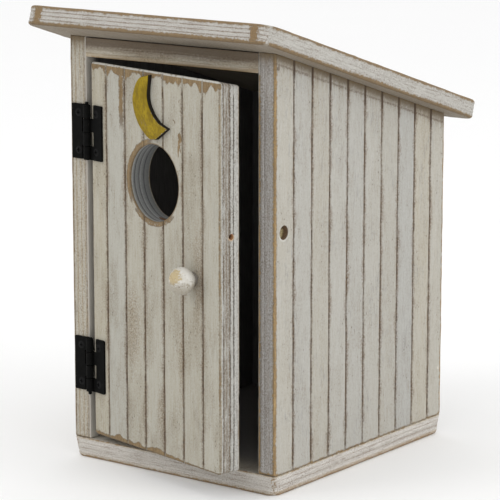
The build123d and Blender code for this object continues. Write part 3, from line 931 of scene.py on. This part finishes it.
# ---------------- the cabinet's boards

WHITE = (0.50, 0.495, 0.49)
GREY = (0.36, 0.35, 0.34)
TAN = (0.31, 0.24, 0.15)
BROWN = (0.19, 0.145, 0.10)
UMBER = (0.22, 0.175, 0.13)
DARK = (0.055, 0.045, 0.04)

ROOF_PLIES = [
    (0.0, TAN), (1.1, TAN), (1.5, WHITE), (2.7, WHITE), (3.1, BROWN), (3.5, WHITE), (4.7, WHITE),
    (5.1, BROWN), (5.5, WHITE), (6.7, WHITE), (7.1, BROWN), (7.5, WHITE), (8.7, WHITE), (9.1, TAN),
    (9.8, TAN),
]
DOOR_PLIES = [
    (0.0, TAN), (1.0, TAN), (1.2, WHITE), (1.9, WHITE), (2.2, DARK), (2.6, BROWN), (3.3, GREY), (4.2, UMBER),
    (5.2, GREY), (5.9, BROWN), (6.7, DARK), (7.0, WHITE), (8.2, WHITE), (8.6, DARK), (8.9, DARK),
    (9.3, WHITE), (10.6, WHITE), (10.9, GREY), (11.2, WHITE), (11.8, WHITE), (12.1, TAN), (12.5, TAN),
]
WALL_PLIES = [
    (0.0, BROWN), (1.0, TAN), (1.5, GREY), (3.4, WHITE), (3.8, GREY), (6.6, GREY), (7.0, WHITE), (8.0, GREY),
    (8.6, (0.26, 0.25, 0.24)), (10.2, (0.24, 0.235, 0.23)),
]
CREAM = (0.47, 0.445, 0.385)
STREAK = (0.36, 0.29, 0.19)
JAMB_PLIES = [
    (0.0, BROWN), (0.8, STREAK), (1.5, CREAM), (2.7, CREAM), (3.2, STREAK), (3.9, CREAM), (5.6, CREAM),
    (6.1, STREAK), (6.6, CREAM), (8.0, CREAM), (8.5, STREAK), (9.0, GREY), (10.2, GREY),
]
FLOOR_PLIES = [
    (0.0, GREY), (1.0, WHITE), (2.6, WHITE), (2.9, BROWN), (3.2, WHITE), (5.2, GREY), (5.5, BROWN),
    (5.8, GREY), (7.6, WHITE), (8.2, TAN), (10.2, BROWN),
]

NAIL_INSET = 2.6
NAIL_DIP = (1.5, 0.28)  # a dimple's reach and depth
FILLED_DIP = (1.3, 0.1)
HEADER_BRAD_LEVEL = 209.8
BACK_BRAD_LEVELS = (36.0, 146.0)
# How far below the roof the grime and painted shade reach
EAVES_GRIME_AND_SHADE = 4.0
SLOPE = radians(ROOF_SLOPE)

side_size = (DEPTH, SIDE_HEIGHT, PLY)
side_lines = [SIDE_FIRST_GROOVE + i * GROOVE_PITCH for i in range(SIDE_GROOVES)]
SIDE_PLANKS = (
    (1.06, 0.55), (1.02, 0.35), (1.0, 0.6), (1.04, 0.4), (1.0, 0.35), (1.03, 0.45), (1.0, 0.5),
    (0.98, 0.25), (1.05, 0.75), (1.08, 0.55),
)
side_dimples = [(NAIL_INSET, HEADER_BRAD_LEVEL - PLY, *NAIL_DIP)]
side_dimples += [(DEPTH - NAIL_INSET, level - PLY, *FILLED_DIP) for level in BACK_BRAD_LEVELS]
side_plies = [1.1, 3.6, 6.8, 9.0]


def make_sides():
    right_place = axes((0, 1, 0), (0, 0, 1), (right_high.x, FRONT, left_low.z))
    left_place = axes((0, -1, 0), (0, 0, 1), (left_low.x, BACK, left_low.z))
    latch = (LATCH_SETBACK, LATCH_HEIGHT - left_low.z)
    points, faces = board_mesh(
        side_size, 11, groove_lines=side_lines, dimples=side_dimples, slope=SLOPE, layers=side_plies
    )
    paint = weathered(
        "right_wall_paint", side_size, 3.1, planks=SIDE_PLANKS, first_groove=SIDE_FIRST_GROOVE,
        grooves=SIDE_GROOVES, slope=SLOPE, plies=WALL_PLIES, ply_show=(0.5, 0.5),
        edge_paint=(0.34, 0.305, 0.27), bore=(*latch, BORE_RADIUS), dark_inside=True, wear=1.25,
        dirt=0.35, eaves=EAVES_GRIME_AND_SHADE, joined_above=RAIL_LEVEL,
        bare_wood=((0.27, 0.175, 0.08), (0.46, 0.31, 0.14)), tint=(0.905, 0.915, 0.91),
    )
    right = add_piece(
        "right_wall", points, faces, right_place, "cabinet", ["right_side_panel"], paint
    )
    through = [(THROUGH_RADIUS, -PLY - 1.0), (THROUGH_RADIUS, -BORE_SINK)]
    wide = [(BORE_RADIUS, -BORE_SINK), (BORE_RADIUS, 1.0)]
    carve(right, through + wide, right_place @ Matrix.Translation(Vector((*latch, 0)) * MM))

    mirrored = [DEPTH - place for place in side_lines]
    dimples = [(DEPTH - across, up, reach, sink) for across, up, reach, sink in side_dimples]
    points, faces = board_mesh(
        side_size, 12, groove_lines=mirrored, dimples=dimples, slope=SLOPE, slope_from_right=True,
        layers=side_plies,
    )
    paint = weathered(
        "left_wall_paint", side_size, 5.3, planks=SIDE_PLANKS[::-1], first_groove=mirrored[-1],
        grooves=SIDE_GROOVES, slope=SLOPE, slope_from_right=True, plies=JAMB_PLIES, ply_show=(0.9, 0.9),
        edge_paint=(0.45, 0.43, 0.39), dark_inside=True, scuffs=0.6, eaves=EAVES_GRIME_AND_SHADE,
        joined_above=RAIL_LEVEL, tint=(0.90, 0.88, 0.83),
    )
    add_piece("left_wall", points, faces, left_place, "cabinet", ["left_side_panel"], paint)


def make_back():
    low, high = corner("back_panel", False), corner("back_panel", True)
    size = (high.x - low.x, high.z - low.z, PLY)
    first = size[0] / 2 - (BACK_GROOVES - 1) / 2 * GROOVE_PITCH
    lines = [first + i * GROOVE_PITCH for i in range(BACK_GROOVES)]
    place = axes((-1, 0, 0), (0, 0, 1), (high.x, high.y, low.z))
    points, faces = board_mesh(size, 13, groove_lines=lines, front_ease=0.5, back_ease=0.5, layers=side_plies)
    # The top edge is bevelled to the roof's slope
    points[:, 1] -= np.clip(points[:, 1] / size[1], 0, 1) * tan(SLOPE) * np.clip(points[:, 2] + PLY, 0, PLY)
    paint = weathered(
        "back_wall_paint", size, 7.7, planks=SIDE_PLANKS[3:], first_groove=first, grooves=BACK_GROOVES,
        plies=WALL_PLIES, dark_inside=True, dirt=0.6, eaves=EAVES_GRIME_AND_SHADE, tint=(0.92, 0.91, 0.88),
    )
    add_piece("back_wall", points, faces, place, "cabinet", ["back_panel"], paint)


def make_header():
    low, high = corner("header_rail", False), corner("header_rail", True)
    size = (high.x - low.x, high.z - low.z, PLY)
    place = axes((1, 0, 0), (0, 0, 1), (low.x, low.y, low.z))
    points, faces = board_mesh(
        size, 14, corner_radius=(0.4, 0.4), front_ease=0.35, back_ease=0.4, spacing=2.5
    )
    points[:, 1] += np.clip(points[:, 1] / size[1], 0, 1) * tan(SLOPE) * points[:, 2]
    paint = weathered(
        "header_paint", size, 2.3, planks=((0.85, 0.5), (0.75, 0.7)), wear=0.35, scuffs=0.6, dirt=1.0,
        glaze=0.55, grain_across=True, tint=(1.2, 1.16, 1.06),
    )
    add_piece("header", points, faces, place, "cabinet", ["header_rail"], paint)


def make_floor_board():
    size = (WIDTH, DEPTH, PLY)
    place = axes((1, 0, 0), (0, 1, 0), (left_low.x, FRONT, PLY))
    points, faces = board_mesh(
        size, 15, corner_radius=FLOOR_CORNERS, front_ease=0.5, back_ease=FLOOR_EASE, layers=[2.9, 5.5, 8.0]
    )
    paint = weathered(
        "floor_paint", size, 4.9, planks=((1.0, 0.4), (0.95, 0.6)), plies=FLOOR_PLIES, ply_show=(0.7, 0.35),
        edge_paint=(0.40, 0.39, 0.37), wear=1.1, scuffs=0.4, dirt=0.6, dark_in_depth=(7.0, 26.0),
        sanded_corners=1.6, covered_front=True, tint=(1.25, 1.215, 1.16),
    )
    add_piece("floor_board", points, faces, place, "cabinet", ["floor_panel"], paint)


def make_roof():
    low, high = corner("roof_panel", False), corner("roof_panel", True)
    run = (high.y - low.y - ROOF_THICKNESS * sin(SLOPE)) / cos(SLOPE)
    size = (high.x - low.x, run, ROOF_THICKNESS)
    down = (0, cos(SLOPE), -sin(SLOPE))
    place = axes((1, 0, 0), down, (low.x, low.y + ROOF_THICKNESS * sin(SLOPE), high.z))
    points, faces = board_mesh(
        size, 16, corner_radius=(ROOF_CORNER, ROOF_CORNER), front_ease=2.2, back_ease=ROOF_EASE,
        layers=[3.1, 5.1, 7.1],
    )
    paint = weathered(
        "roof_paint", size, 6.1, planks=((1.02, 0.15), (1.05, 0.4)), plies=ROOF_PLIES, ply_show=(0.15, 0.95),
        edge_paint=(0.46, 0.46, 0.45), wear=1.6, scuffs=0.4, dirt=0.35, underside=0.8, sanded_corners=3.0,
        scraps_at=9.5, tint=(0.95, 0.925, 0.87),
    )
    add_piece("roof_board", points, faces, place, "cabinet", ["roof_panel"], paint)


# ---------------- the door and what is on it

DOOR_PLANKS = ((1.0, 0.75), (1.0, 0.3), (0.98, 0.55), (0.98, 0.5), (0.97, 0.55), (0.92, 0.6), (1.0, 0.5))
DOOR_STAINS = (
    (33.0, 62.0, 7.0, 26.0), (71.5, 50.0, 3.0, 22.0), (55.0, 22.0, 4.0, 14.0), (84.0, 95.0, 3.5, 30.0),
)
door_across = Vector((cos(AJAR), -sin(AJAR), 0))
door_inward = Vector((sin(AJAR), cos(AJAR), 0))
DOOR_BOTTOM = corner("door_panel", False).z
hinge_edge = Vector((pin.x, pin.y, 0)) + door_across * PIN_FROM_DOOR + door_inward * KNUCKLE_RADIUS
door_place = axes(door_across, (0, 0, 1), (hinge_edge.x, hinge_edge.y, DOOR_BOTTOM))


def make_door():
    width, height, thick = DOOR_SIZE
    lines = [DOOR_FIRST_GROOVE + i * GROOVE_PITCH for i in range(DOOR_GROOVES)]
    points, faces = board_mesh(
        DOOR_SIZE, 17, corner_radius=(2.4, 2.0), front_ease=1.4, back_ease=1.4, groove_lines=lines,
        layers=[2.3, 6.8, 8.8, 10.9], spacing=3.0,
    )
    near_top = np.clip(points[:, 1] / height, 0, 1) ** BEVEL_START
    points[:, 1] += near_top * points[:, 2] * tan(radians(DOOR_BEVEL))
    latch_level = LATCH_HEIGHT - DOOR_BOTTOM
    paint = weathered(
        "door_paint", DOOR_SIZE, 1.7, planks=DOOR_PLANKS, first_groove=DOOR_FIRST_GROOVE,
        grooves=DOOR_GROOVES, plies=DOOR_PLIES, peel_top=4.6, bare_run=24.6, chips_at=(71.0, 158.0),
        entrance=(width / 2, ENTRANCE_HEIGHT, ENTRANCE_RADIUS), wear=0.55, scuffs=0.25, dirt=0.8,
        edge_bore=(latch_level, LATCH_SETBACK, LATCH_RADIUS), tint=(0.89, 0.89, 0.84), stains=DOOR_STAINS,
    )
    door = add_piece("door_board", points, faces, door_place, "door", ["door_panel"], paint, 35)
    middle = Matrix.Translation(Vector((width / 2, ENTRANCE_HEIGHT, -thick / 2)) * MM)
    carve(door, hole_profile(ENTRANCE_RADIUS, thick, 0.6), door_place @ middle)
    sideways = Matrix.Rotation(pi / 2, 4, "Y")
    edge = Matrix.Translation(Vector((width, latch_level, -LATCH_SETBACK)) * MM) @ sideways
    carve(door, [(LATCH_RADIUS, -12.0), (LATCH_RADIUS, 1.0)], door_place @ edge)


# ---------------- the moon

MOON_THICKNESS = 2.4
MOON_EASE = 0.5
MOON_FOOT = 158.3
MOON_SHIFT = 0.8
MOON_TOP = (-1.8, 31.2)
MOON_OUTER = [(-10.0, 28.2), (-14.4, 18.4), (-10.8, 7.7), (-2.6, 0.7)]
MOON_HEEL = (3.4, 0.2)
MOON_POINT = (12.6, 6.3)
MOON_NOTCH = (5.4, 8.6)
MOON_INNER = [(0.6, 12.8), (-2.9, 19.6)]


def curve(points, steps=10):
    """Points along a smooth line through the given ones, without the last."""
    points = np.array(points, float)
    ends = np.vstack([2 * points[0] - points[1], points, 2 * points[-1] - points[-2]])
    line = []
    for p, q, r, t in zip(ends, ends[1:], ends[2:], ends[3:]):
        square, cube = 2 * p - 5 * q + 4 * r - t, 3 * q - p - 3 * r + t
        for share in np.arange(steps) / steps:
            line.append(0.5 * (2 * q + (r - p) * share + square * share**2 + cube * share**3))
    return line


def straight(start, end, steps):
    """Points along a straight line, without the last."""
    return [np.array(start) + (np.array(end) - start) * step / steps for step in range(steps)]


def inward(outline, distance):
    """The outline moved in by a distance."""
    along = np.roll(outline, -1, axis=0) - np.roll(outline, 1, axis=0)
    along /= np.linalg.norm(along, axis=1)[:, None]
    return outline + np.stack([-along[:, 1], along[:, 0]], axis=1) * distance


def cut_out(outline, thickness, ease, seed, cell=1.2):
    """A flat shape cut from sheet, with a softened front arris and a gently uneven face."""
    outline = np.array(outline)
    following = np.roll(outline, -1, axis=0)
    clockwise = np.sum(outline[:, 0] * following[:, 1] - following[:, 0] * outline[:, 1]) < 0
    if clockwise:
        outline = outline[::-1]
    count = len(outline)
    levels = [(0.0, 0.0), (0.0, thickness * 0.4), (0.0, thickness - ease)]
    for angle in (25, 50, 70, 90):
        turn = radians(angle)
        levels.append((ease * (1 - cos(turn)), thickness - ease * (1 - sin(turn))))
    rings = [np.column_stack([inward(outline, inset), np.full(count, level)]) for inset, level in levels]
    points = np.vstack(rings)
    faces = stack_rings(len(levels), count)
    rim = rings[-1][:, :2]
    low, high = rim.min(axis=0), rim.max(axis=0)
    across, up = (np.arange(low[axis], high[axis], cell) for axis in (0, 1))
    grid = [Vector((x, y)) for x in across for y in up]
    border = [Vector(p) for p in rim]
    edges = [(i, (i + 1) % count) for i in range(count)]
    flat, _, cells, origins, _, _ = delaunay_2d_cdt(border + grid, edges, [], 1, 1e-4)
    start = (len(levels) - 1) * count
    rename, extra = {}, []
    for number, (place, sources) in enumerate(zip(flat, origins)):
        if sources and sources[0] < count:
            rename[number] = start + sources[0]
        else:
            rename[number] = len(points) + len(extra)
            extra.append((place.x, place.y, thickness))
    extra = np.array(extra)
    if len(extra):
        extra[:, 2] += 0.05 * wobble(extra, 9, seed)
        points = np.vstack([points, extra])
    faces += [tuple(rename[i] for i in face) for face in cells]
    points[:, :2] += 0.06 * np.stack([wobble(points, 5, seed + 1), wobble(points, 5, seed + 2)], axis=1)
    return points, faces


def moon_paint():
    s = Shader("moon_paint")
    x, y, z = s.split(s.place() * (1.0 / MM))
    blot = s.noise(x, y, z, scale=0.22, detail=4.0, roughness=0.6)
    grit = s.noise(x, y, z + 5.0, scale=1.1, detail=4.0, roughness=0.7)
    stroke = s.noise(x * 1.4 + y * 0.5, y * 0.22 - x * 0.2, z)
    coat = s.blend(blot.ramp(0.35, 0.7), (0.20, 0.135, 0.005), (0.31, 0.22, 0.010))
    coat = s.blend(stroke.ramp(0.5, 0.66) * 0.6, coat, (0.15, 0.10, 0.012))
    coat = s.blend(grit.ramp(0.52, 0.64) * 0.6 * y.ramp(26.0, 2.0), coat, (0.13, 0.075, 0.02))
    specks = s.cells(x, y, z, 0.9)
    coat = s.blend(specks[0].ramp(0.2, 0.1) * specks[1].ramp(0.75, 0.85) * 0.7, coat, (0.08, 0.05, 0.02))
    face = z.ramp(MOON_THICKNESS - 0.42, MOON_THICKNESS - 0.12)
    coat = s.blend(face, (0.016, 0.013, 0.010), coat)
    worn = (z - (MOON_THICKNESS - 0.2)).abs().ramp(0.2, 0.05) * grit.ramp(0.52, 0.64) * y.ramp(16.0, 10.0)
    coat = s.blend(worn * 0.8, coat, (0.55, 0.50, 0.40))
    relief = stroke * 0.08 + grit * 0.06
    return s.finish(coat, roughness=0.5 + grit * 0.25, height=relief, relief=0.6, specular=0.12)


def make_moon():
    outline = curve([MOON_TOP, *MOON_OUTER, MOON_HEEL])
    outline += straight(MOON_HEEL, MOON_POINT, 6) + straight(MOON_POINT, MOON_NOTCH, 5)
    outline += curve([MOON_NOTCH, *MOON_INNER, MOON_TOP])
    points, faces = cut_out(outline, MOON_THICKNESS, MOON_EASE, 21)
    place = door_place @ Matrix.Translation(Vector((DOOR_SIZE[0] / 2 + MOON_SHIFT, MOON_FOOT, 0)) * MM)
    add_piece("moon", points, faces, place, "door", ["crescent_moon"], moon_paint(), 50)


# ---------------- the knob

KNOB_REACH = 80.7
KNOB_HEIGHT = 93.8
KNOB_PROFILE = [(3.6, 0.0), (3.6, 0.5), (3.2, 1.2), (4.5, 2.3)]  # (radius, height) up its foot
KNOB_WIDEST = (6.75, 7.2)
KNOB_TOP = 12.9
KNOB_FOOT = 1.2


def knob_paint():
    s = Shader("knob_paint")
    x, y, z = s.split(s.place() * (1.0 / MM))
    blot = s.noise(x, y, z + 3.0, scale=0.22)
    grit = s.noise(x, y, z, scale=0.8, detail=5.0, roughness=0.7)
    coat = s.blend(blot.ramp(0.4, 0.6) * 0.5, (0.62, 0.605, 0.56), (0.50, 0.475, 0.41))
    brow = s.sum("SQRT", x * x + (y - 3.0) * (y - 3.0) + (z - 12.5) * (z - 12.5))
    worn = (brow + grit.jitter(11.0)).ramp(5.0, 3.2)
    coat = s.blend(worn * 0.75, coat, (0.44, 0.32, 0.12))
    # Darker and browner low on the ball: partly painted shade, with the dark specks below gathered there
    low = (y + grit.jitter(12.0)).ramp(1.2, -2.0)
    coat = s.blend(low * 0.65, coat, (0.27, 0.235, 0.175))
    spots, pick = s.cells(x, y, z, 0.75)
    spots = spots.ramp(0.3, 0.15) * pick.ramp(0.45, 0.6)
    coat = s.blend(spots * (0.4 + low * 0.6), coat, (0.12, 0.09, 0.055))
    fleck = s.noise(x, y, z + 8.0, scale=2.0, roughness=0.8)
    coat = s.blend(fleck.ramp(0.52, 0.64) * (0.15 + 0.5 * low.high(worn)), coat, (0.20, 0.15, 0.08))
    # Painted shade at the foot, where the knob meets the door
    coat = s.blend(z.ramp(2.6, 0.8) * 0.8, coat, (0.10, 0.08, 0.06))
    relief = grit * 0.14 - worn * 0.1
    return s.finish(coat, roughness=0.5 + grit * 0.2, height=relief, relief=0.7, specular=0.4)


def make_knob():
    reach, middle = KNOB_WIDEST
    profile = list(KNOB_PROFILE)
    for angle in range(-35, 90, 8):
        turn = radians(angle)
        rise = KNOB_TOP - middle if angle > 0 else middle - KNOB_FOOT
        profile.append((reach * cos(turn), middle + rise * sin(turn)))
    profile.append((0.15, KNOB_TOP))
    points, faces = lathe(profile, 72)
    points[:, :2] *= 1 - 0.004 * (1 + wobble(points, 7, 31)[:, None])
    place = door_place @ Matrix.Translation(Vector((KNOB_REACH, KNOB_HEIGHT, 0)) * MM)
    add_piece("knob", points, faces, place, "door", ["door_knob"], knob_paint(), 45)


# ---------------- metal parts that keep their CAD shape


def metal(name, colour, worn_colour, roughness, metallic, seed):
    """Lacquered or bare metal with rubbed patches and a fine orange-peel."""
    s = Shader(name)
    place = s.place() * (1.0 / MM)
    blot = s.noise(place, scale=0.35)
    grit = s.noise(place, scale=2.2, detail=4.0, roughness=0.7)
    x, y, z = s.split(place)
    rub = s.noise(x + seed, y, z * 0.5, scale=0.9, detail=5.0, roughness=0.75)
    coat = s.blend(blot.ramp(0.3, 0.7), colour, tuple(c * 1.6 for c in colour))
    coat = s.blend(rub.ramp(0.6, 0.72) * 0.6, coat, worn_colour)
    return s.finish(
        coat, roughness=roughness + grit * 0.2, height=grit * 0.05 + rub * 0.04, relief=0.5,
        metallic=metallic, specular=0.05,
    )


METALS = {
    "hinge_black": ("hinge_lacquer", (0.003, 0.003, 0.0028), (0.03, 0.024, 0.02), 0.55, 0.0, 1.0),
    "screw_black": ("screw_lacquer", (0.007, 0.007, 0.007), (0.05, 0.04, 0.035), 0.4, 0.0, 2.0),
    "screw_steel": ("screw_steel", (0.40, 0.39, 0.38), (0.22, 0.17, 0.12), 0.35, 1.0, 3.0),
    "filled": ("filled_brad", (0.40, 0.375, 0.33), (0.28, 0.22, 0.15), 0.6, 0.0, 5.0),
    "brad_steel": ("brad_steel", (0.20, 0.17, 0.14), (0.10, 0.07, 0.05), 0.5, 1.0, 4.0),
}
FILLED_OVER = ("back_brads", "floor_brads", "roof_brads")


def paint_metal():
    shown = {slot: metal(*look) for slot, look in METALS.items()}
    for part in record["subparts"]:
        node, slot = part["node"], part["material_slot"]
        if slot in shown:
            mesh = frame["nodes"][node].data
            mesh.materials.clear()
            mesh.materials.append(shown["filled" if node in FILLED_OVER else slot])


make_camera()
make_light()
make_floor()
make_sides()
make_back()
make_header()
make_floor_board()
make_roof()
make_door()
make_moon()
make_knob()
paint_metal()
